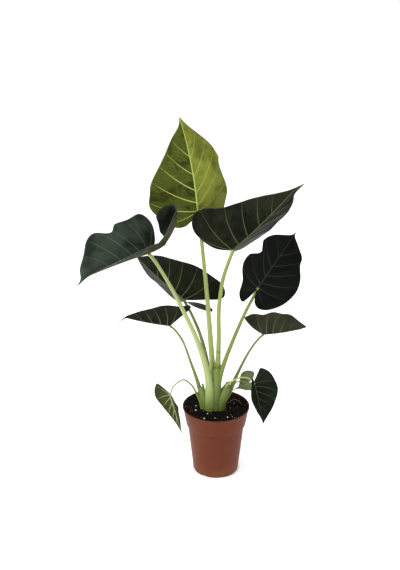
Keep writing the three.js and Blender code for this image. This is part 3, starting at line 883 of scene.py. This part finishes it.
# Veins on the flat blade: how strongly a place lies on one (0 to 1), the rib's height there, and the
# distance to the nearest, in blade lengths. Side veins bow backwards on their way to the margin.
def veinsOn(leaf, length, along, across, side, share):
    tip = np.clip(along, 0, 1)
    bulk = min(1, length / blade["fullLength"])
    width = blade["midrib"] * (1 - 0.72 * tip) * (0.6 + 0.4 * bulk) / length
    gap = np.where(along > 0, across, np.hypot(along, across))
    strength = np.exp(-((gap / width) ** 2))
    height = strength * width * length * 0.8
    nearest = gap.copy()
    for half in (0, 1):
        here = side == half
        edge = marginOf(leaf, half, np.linspace(0, 1, 400))
        run = runAlong(edge)
        for start, end, stout in sideVeins:
            start = start + 0.03 * half * (start > 0)
            goal = edge[np.searchsorted(run, (end - 0.012 * half) * run[-1])] * 0.97
            root = np.array([start, 0.0])
            bow = (root + goal) / 2 - np.array([0.13, 0]) * np.linalg.norm(goal - root)
            t = np.linspace(0, 1, 15)[:, None]
            line = (1 - t) ** 2 * root + 2 * t * (1 - t) * bow + t**2 * goal
            away = distanceTo(line, along[here], across[here])
            outward = np.hypot(along[here] - start, across[here]) / np.linalg.norm(goal - root)
            outward = np.clip(outward, 0, 1)
            wide = blade["lateral"] * stout * (1.1 - 0.45 * outward) / length * (0.55 + 0.45 * bulk)
            mark = np.exp(-((away / wide) ** 2)) * (1 - 0.3 * outward)
            strength[here] = np.maximum(strength[here], mark)
            height[here] = np.maximum(height[here], mark * wide * length * 0.55)
            nearest[here] = np.minimum(nearest[here], away)
    return strength, height, nearest


# A blade's forward, upper and left directions at the junction, and its length.
def directions(leaf):
    forward = plantPoint(leaf["tip"]) - plantPoint(leaf["junction"])
    length = float(np.linalg.norm(forward))
    forward = forward / length
    facing = np.array(leaf["facing"], float)
    facing = unit(facing - forward * (facing @ forward))
    return forward, facing, np.cross(facing, forward), length


# The blade's mid surface in space. Each half folds up from the midrib, and its lobe by more. The midrib
# bends, arches and twists, the margin waves, and the blade swells between its veins.
def bladeSurface(leaf, along, across, side, turn, share, nearest):
    forward, facing, leftward, length = directions(leaf)
    sign = np.where(side == 0, 1.0, -1.0)
    pairs = (leaf.get(name, [0, 0]) for name in ("fold", "lobeFold", "lobeCurl"))
    fold, lobeFold, lobeCurl = (np.take(pair, side) for pair in pairs)
    reaches = [np.clip(-min(place[0] for place in margin), 0.05, 0.48) for margin in leaf["margin"]]
    reach = np.take(reaches, side)
    intoLobe = np.clip(-along / reach, 0, 1)
    angle = np.radians(fold + lobeFold * intoLobe)
    soft = blade["soften"]
    lateral = sign * across * np.cos(angle)
    lift = np.hypot(across * np.sin(angle), soft) - soft
    crease = -blade["creaseFoot"] - blade["creaseLean"] * ease(across / blade["creaseSpan"])
    over = np.clip(crease - along, 0, None) * (lobeCurl > 0)
    rolled = np.clip(over / np.maximum(lobeCurl, 0.001), 0, math.pi)
    back = crease - lobeCurl * np.sin(rolled) + np.clip(over - math.pi * lobeCurl, 0, None)
    along = np.where(over > 0, back, along)
    lateral = lateral - sign * lobeCurl * (1 - np.cos(rolled))
    count, swing, begin = leaf["wave"]
    ripple = np.sin(2 * math.pi * (count * turn + begin) + 1.3 * sign) * share**4 * np.sin(math.pi * turn)
    ripple = ripple * swing * mm / length
    swell = 1 - np.exp(-((nearest / blade["quiltReach"]) ** 2))
    turned = math.radians(leaf.get("twist", 0)) * along
    bow = np.where(along > 0, 4 * along * (1 - along), 4 * along)
    sideways = lateral * np.cos(turned) - lift * np.sin(turned) + leaf.get("bend", 0) * bow
    upward = lateral * np.sin(turned) + lift * np.cos(turned) + leaf.get("arch", 0) * bow
    upward = upward + ripple + blade["quilt"] * swell * (1 - 0.6 * share**6)
    place = plantPoint(leaf["junction"]) + length * (
        along[..., None] * forward + sideways[..., None] * leftward + upward[..., None] * facing
    )
    hook = np.array(leaf.get("hook", [0, 0, 0])) * mm
    bent = ease((along - blade["hookStart"]) / blade["hookSpan"]) ** 1.5
    return place + hook * bent[..., None]


# The blade as a closed shell: the mid surface moved half the thickness up and down along its own
# normal, with the veins as grooves above and ribs below.
def bladeShape(leaf):
    _, facing, _, length = directions(leaf)
    small = length < blade["smallLength"]
    rings = blade["smallRings"] if small else blade["rings"]
    columns = blade["smallColumns"] if small else blade["columns"]
    along, across, side, turn, share = flatBlade(leaf, rings, columns)
    strength, height, nearest = veinsOn(leaf, length, along, across, side, share)
    middle = bladeSurface(leaf, along, across, side, turn, share, nearest)
    around = (np.roll(middle, -1, axis=1) - np.roll(middle, 1, axis=1)) / 2
    outward = np.gradient(middle, axis=0)
    normal = unit(np.cross(around, outward))
    if (normal[: rings // 2] @ facing).mean() < 0:
        normal = -normal
    half = blade["thickness"] / 2
    upper = middle + normal * (half - 0.3 * height)[..., None]
    under = middle - normal * (half + height)[..., None]
    edge = middle[-1:] + unit(outward[-1:]) * half
    rows = np.concatenate([upper, edge, under[::-1]])
    centre = plantPoint(leaf["junction"])
    shape = closedRings(rows, centre + facing * half, centre - facing * (half + blade["midrib"] * 0.8))

    def stacked(values):
        return np.concatenate([values.ravel(), values[-1], values[::-1].ravel(), [values[0].mean()] * 2])

    sign = np.where(side == 0, 1.0, -1.0)
    course = along - 0.55 * across - 0.5 * across**2
    fields = {
        "vein": stacked(strength),
        "reach": stacked(share + 0 * along),
        "half": stacked(sign * ease(across / 0.02)),
        "flow": np.stack([stacked(course), stacked(sign * across), stacked(0 * along)], axis=-1),
    }
    quadRows = np.repeat(np.arange(len(rows) - 1), columns)
    underFaces = np.concatenate([quadRows >= len(upper), np.zeros(columns, bool), np.ones(columns, bool)])
    if signedVolume(shape[0] - centre, shape[1], shape[2]) < 0:
        shape = (shape[0], shape[1][:, ::-1], shape[2][:, ::-1])
    return shape, fields, underFaces


# Leaf skins: the tones of base, patches, veins and margin, and the roughness. ShadeHalf and shadePatch
# are the right half's base and patches, painted darker as shade than the backlit left half.
skins = {
    "deep": {"base": "050805", "patch": "0b100a", "vein": "283427", "margin": "182017", "rough": 0.36},
    "dark": {"base": "22251a", "patch": "14170f", "vein": "59653f", "margin": "31352a", "rough": 0.36},
    "darkUnder": {"base": "212318", "patch": "12140d", "vein": "606c44", "margin": "3b3d30", "rough": 0.4},
    "slate": {"base": "414b40", "patch": "232c23", "vein": "66715f", "margin": "4a5346", "rough": 0.36},
    "greyUnder": {"base": "35341f", "patch": "26251a", "vein": "5f6140", "margin": "6a6c58", "rough": 0.5},
    "paleUnder": {"base": "2f3022", "patch": "202116", "vein": "5f624c", "margin": "4c4d3d", "rough": 0.4},
    # The top leaf's two skins are painted light: bright yellow-green with bright veins, for the backlight
    # through it.
    "gold": {"base": "66742c", "patch": "4b561f", "vein": "a1b75a", "margin": "56622a", "rough": 0.42},
    "goldUnder": {
        "base": "929a3d",
        "patch": "656c22",
        "vein": "bdd46a",
        "margin": "5f6a26",
        "rough": 0.42,
        "shadeHalf": "474f1b",
        "shadePatch": "2f2a0c",
    },
    "fern": {"base": "181f12", "patch": "0f140b", "vein": "48543c", "margin": "2c3324", "rough": 0.36},
    "young": {"base": "343c1e", "patch": "262c16", "vein": "939f6e", "margin": "4a5234", "rough": 0.4},
    "youngUnder": {"base": "3c4423", "patch": "2d341b", "vein": "a2ae7c", "margin": "545c3c", "rough": 0.42},
    "fresh": {"base": "66704a", "patch": "565f3b", "vein": "929d70", "margin": "6d7655", "rough": 0.42},
    "freshUnder": {"base": "7c8660", "patch": "6b7550", "vein": "a3ad84", "margin": "838b6a", "rough": 0.46},
}


leafFinish = {
    "clouds": 22,  # per metre, as pores are
    "pores": 420,
    "stripes": [170, 12, 1],  # per blade length across and along the side veins
    "veinShare": 0.85,
    "specular": 0.05,
}


# A leaf's skin: patches of a second tone, fine pale stripes that run with the side veins (fine venation
# and painted sheen streaks), the veins themselves, a thin margin, and a waxy gloss that is a little uneven.
def leafSkin(name, skin):
    def paint(wire):
        place = wire.place()
        flow = wire.field("flow", "Vector")
        vein = wire.field("vein", "Fac")
        reach = wire.field("reach", "Fac")
        cloud = place.noise(leafFinish["clouds"], 3, 0.6, 0.4).between(0.36, 0.66)
        stripe = flow.stretched(leafFinish["stripes"]).noise(1, 2, 0.55)
        mesh = place.cells(leafFinish["pores"])
        colour = cloud.mix(tone(skin["base"]), tone(skin["patch"]))
        # On the backlit leaf the right half is painted darker as shade, with blotches, and the left keeps
        # the brighter tones.
        if "shadeHalf" in skin:
            blotch = place.noise(30, 3, 0.6, 0.8).between(0.5, 0.66) * 0.85
            darker = blotch.mix(tone(skin["shadeHalf"]), tone(skin["shadePatch"]))
            half = wire.field("half", "Fac").between(-1, 1)
            colour = darker.toward(colour, half)
        # Fine venation and painted sheen: the colour lightens toward the vein tone along the stripes.
        colour = colour.toward(tone(skin["vein"]), stripe.between(0.48, 0.76) * 0.13)
        colour = colour.toward(tone(skin["vein"]), vein.between(0.25, 0.8) * leafFinish["veinShare"])
        colour = colour.toward(tone(skin["margin"]), reach.between(0.975, 0.995) * 0.7)
        rough = skin["rough"] + cloud * 0.08 + stripe * 0.08
        return colour, rough, stripe * 0.5 + mesh * 0.25 + cloud * 0.3, 0.0004

    return newFinish(name, {"Specular IOR Level": leafFinish["specular"]}, paint)


skinFinish = {name: leafSkin(f"{name}Leaf", skin) for name, skin in skins.items()}


# A leaf as one piece: its upper skin and its under one, and the slot that goes with the upper.
def makeLeaf(name, leaf):
    shape, fields, under = bladeShape(leaf)
    finishes = [skinFinish[skin] for skin in leaf["skins"]]
    addPiece(f"blade_{name}", shape, finishes, f"leaf_{name}", fields, under)


for name, leaf in leaves.items():
    makeLeaf(name, leaf)
print("leaves made")


petiole = {
    "steps": 130,
    "columns": 48,
    "ridges": 0.02,
    "rooted": 14,
    "neckStart": 0.95,  # above this share of its length it flares into the blade
    "neckFlare": 0.18,
    "sheathThickness": 0.7 * mm,
    "sheathSteps": 40,
    "sheathColumns": 44,
}
# Open sheaths round the petiole bases. Line and radii run up the sheath. It faces an angle, spans that
# much to either side, its edge rises in the middle and leans up to one end, and its top curls out.
sheaths = {
    "right": {
        "line": [[0, -8, -8], [0, -10, 30], [0, -12, 68], [0, -12, 108]],
        "radii": [14, 12, 10, 8.8],
        "faces": -88,
        "span": 115,
        "rise": 34,
        "lean": 3,
        "curl": 0.8,
    },
    "upper_right": {
        "line": [[2, -6, 50], [3, -6, 95], [4, -3, 140]],
        "radii": [9, 7.8, 4.6],
        "faces": -110,
        "span": 120,
        "rise": 6,
        "lean": 0,
        "curl": 0,
    },
    "left": {
        "line": [[-12, -12, -8], [-13, -15, 30], [-15, -18, 66], [-20, -20, 104]],
        "radii": [11.5, 10.2, 8.4, 5.8],
        "faces": -80,
        "span": 150,
        "rise": 6,
        "lean": 0,
        "curl": 0,
    },
    "lower_left": {
        "line": [[-20, -7, -8], [-25, -9, 16], [-31, -10, 44], [-34, -10, 62]],
        "radii": [9.6, 9.6, 8.4, 5.6],
        "faces": -60,
        "span": 130,
        "rise": 6,
        "lean": 5,
        "curl": 0.8,
    },
    "lower_right": {
        "line": [[8, -8, -8], [11, -9, 14], [15, -9, 34], [20, -8, 51], [27, -6, 70]],
        "radii": [13, 11.8, 12, 10, 4.2],
        "faces": -125,
        "span": 120,
        "rise": 5,
        "lean": 4,
        "curl": 0.6,
    },
}
stalkTones = {
    "left": ["6b7c30", "a9b776"],
    "top": ["788639", "a7b46a"],
    "upper_right": ["7c8a3e", "9aaa5c"],
    "right": ["5a6b28", "76883e"],
    "middle": ["56662a", "66762f"],
    "lower_left": ["6d8032", "73833c"],
    "lower_right": ["657628", "6f803a"],
    "small_left": ["6c7d33", "8b9b52"],
    "small_right": ["7b8c44", "a7b56c"],
    "young_right": ["5c6b29", "87955a"],
}


# A petiole's skin: from one tone at its foot to another at its top, with fine streaks along it.
def stalkSkin(name, tones):
    def paint(wire):
        climb = wire.field("climb", "Fac")
        grain = wire.field("grain", "Vector")
        streak = grain.stretched([22, 1.2, 1]).noise(1, 3, 0.6)
        cloud = wire.place().noise(40, 2, 0.5)
        colour = climb.between(0.0, 0.24).mix(tone(tones[0]), tone(tones[1]))
        colour = colour.toward(tone("56662a"), streak.between(0.5, 0.75) * 0.2)
        colour = colour.toward(tone("c3cd9a"), cloud.between(0.5, 0.8) * 0.2)
        rough = 0.34 + streak * 0.16
        return colour, rough, streak + cloud * 0.3, 0.0003

    return newFinish(name, {"Specular IOR Level": 0.3}, paint)


# An open sheath: rings that run along its outer side and back along its inner one, from the foot to
# an edge whose height changes from end to end.
def sheathShape(sheath):
    v = np.linspace(0, 1, petiole["sheathSteps"])
    u = np.linspace(-1, 1, petiole["sheathColumns"])
    top = sheath["rise"] * (np.sqrt(np.clip(1 - u**2, 0, 1)) - 1) + sheath["lean"] * u
    places = [plantPoint(place) for place in sheath["line"]]
    line = evenLine(places, v)
    radius = smoothLine(sheath["radii"], v) * mm
    thickness = petiole["sheathThickness"] * (1 - 0.5 * v)
    swell = sheath["curl"] * mm * v**8
    angle = np.radians(sheath["faces"] + sheath["span"] * u)
    way = np.stack([np.cos(angle), np.sin(angle), 0 * angle], axis=-1)

    def skin(offset):
        reach = (radius + offset + swell)[:, None, None]
        shell = line[:, None] + way * reach
        shell[..., 2] += (v**3)[:, None] * top * mm
        return shell

    outer, inner = skin(0 * v), skin(-thickness)
    rings = np.concatenate([outer, inner[:, ::-1]], axis=1)
    climb = np.repeat(0.3 * v, rings.shape[1])
    around = np.tile(np.concatenate([u, u[::-1]]), len(v))
    grain = np.stack([around * 3, np.repeat(v * 6, rings.shape[1]), 0 * around], axis=-1)
    return outwards(closedStrip(rings)), climb, grain


# A petiole: a tapered tube through its places, faintly ridged along its length, up to its blade.
def makePetiole(name, leaf):
    _, facing, _, _ = directions(leaf)
    places = [plantPoint((place + [-petiole["rooted"]])[:3]) for place in leaf["stalk"]]
    places.append(plantPoint(leaf["junction"]) - facing * leaf["radii"][-1] * 0.5 * mm)
    t = np.linspace(0, 1, petiole["steps"])
    line = evenLine(places, t)
    radii = smoothLine(leaf["radii"], t) * mm
    neck = ease((t - petiole["neckStart"]) / (1 - petiole["neckStart"]))
    radii = radii * (1 + petiole["neckFlare"] * neck)
    shape = tube(line, radii, petiole["columns"], petiole["ridges"])
    around = np.tile(np.linspace(0, 2 * math.pi, petiole["columns"], endpoint=False), len(t))
    rise = np.repeat(t, petiole["columns"])
    run = runAlong(line)[-1]
    climb = np.concatenate([rise, [0, 1]])
    streaks = np.stack([np.cos(around), rise * run / (20 * mm), np.sin(around)], axis=-1)
    grain = np.vstack([streaks, streaks[[0, -1]]])
    parts, climbs, grains = [outwards(shape)], [climb], [grain]
    if name in sheaths:
        extra, extraClimb, extraGrain = sheathShape(sheaths[name])
        parts.append(extra)
        climbs.append(extraClimb)
        grains.append(extraGrain)
    fields = {"climb": np.concatenate(climbs), "grain": np.vstack(grains)}
    finish = stalkSkin(f"{name}Stalk", stalkTones[name])
    addPiece(f"stalk_{name}", joined(parts), [finish], f"petiole_{name}", fields)


for name, leaf in leaves.items():
    makePetiole(name, leaf)
print("petioles made")


studio = {
    "floorRadius": 14,
    "world": 0.68,
    "floorGlow": 0.4,  # keeps the far floor as white as the lit part
    "glowRing": [0.97, 1.12],  # it starts there, in base radii: none under the pot
    "floorTone": 0.93,
    "lights": {  # place, the point it looks at, side and watts
        "key": [(-1.6, -0.9, 2.2), (0, 0, 0.4), 0.9, 50],
        "back": [(0.9, 1.6, 1.8), (0, 0, 0.5), 1.2, 16],
    },
    "camera": [-0.036, -1.875, 1.184],
    "pitch": 68.57,
    "lens": 59.57,
}


# A round pale floor that glows a little, except under the pot.
def makeFloor():
    angle = np.linspace(0, 2 * math.pi, 96, endpoint=False)
    ring = studio["floorRadius"] * np.stack([np.cos(angle), np.sin(angle), 0 * angle], axis=-1)
    ring[:, 2] = potLow.z - 0.2 * mm
    mesh = bpy.data.meshes.new("studio_floor")
    mesh.from_pydata(ring.tolist(), [], [list(range(len(ring)))])
    floor = bpy.data.objects.new("studio_floor", mesh)
    bpy.context.scene.collection.objects.link(floor)
    material = bpy.data.materials.new("paleFloor")
    material.use_nodes = True
    shader = next(node for node in material.node_tree.nodes if node.type == "BSDF_PRINCIPLED")
    shader.inputs["Base Color"].default_value = [studio["floorTone"]] * 3 + [1]
    shader.inputs["Roughness"].default_value = 0.9
    away = Wire(material.node_tree).place()
    away = away.add("ShaderNodeVectorMath", {"operation": "LENGTH"}, {0: away}, 1)
    start, full = studio["glowRing"]
    glow = away.between(baseRadius * start, baseRadius * full).mix((0, 0, 0, 1), (1, 1, 1, 1))
    material.node_tree.links.new(glow.socket, shader.inputs["Emission Color"])
    shader.inputs["Emission Strength"].default_value = studio["floorGlow"]
    mesh.materials.append(material)


# A soft square light that looks at a point.
def softLight(name, place, target, size, power):
    data = bpy.data.lights.new(name, "AREA")
    data.size = size
    data.energy = power
    light = bpy.data.objects.new(name, data)
    bpy.context.scene.collection.objects.link(light)
    light.location = place
    away = light.location.__class__(place) - light.location.__class__(target)
    light.rotation_euler = away.to_track_quat("Z", "Y").to_euler()


# The floor, an even white world, a key light from the left, a back light and the camera.
def makeStudio():
    makeFloor()
    world = bpy.data.worlds.new("studio")
    world.use_nodes = True
    background = next(node for node in world.node_tree.nodes if node.type == "BACKGROUND")
    background.inputs["Color"].default_value = (1, 1, 1, 1)
    background.inputs["Strength"].default_value = studio["world"]
    bpy.context.scene.world = world
    for name, light in studio["lights"].items():
        softLight(name, *light)
    data = bpy.data.cameras.new("camera")
    data.lens = studio["lens"]
    data.sensor_width = 36
    data.clip_end = 100
    camera = bpy.data.objects.new("camera", data)
    bpy.context.scene.collection.objects.link(camera)
    camera.location = studio["camera"]
    camera.rotation_euler = (math.radians(studio["pitch"]), 0, 0)
    bpy.context.scene.camera = camera
    bpy.context.scene.view_settings.view_transform = "Standard"


makeStudio()
print("studio made")
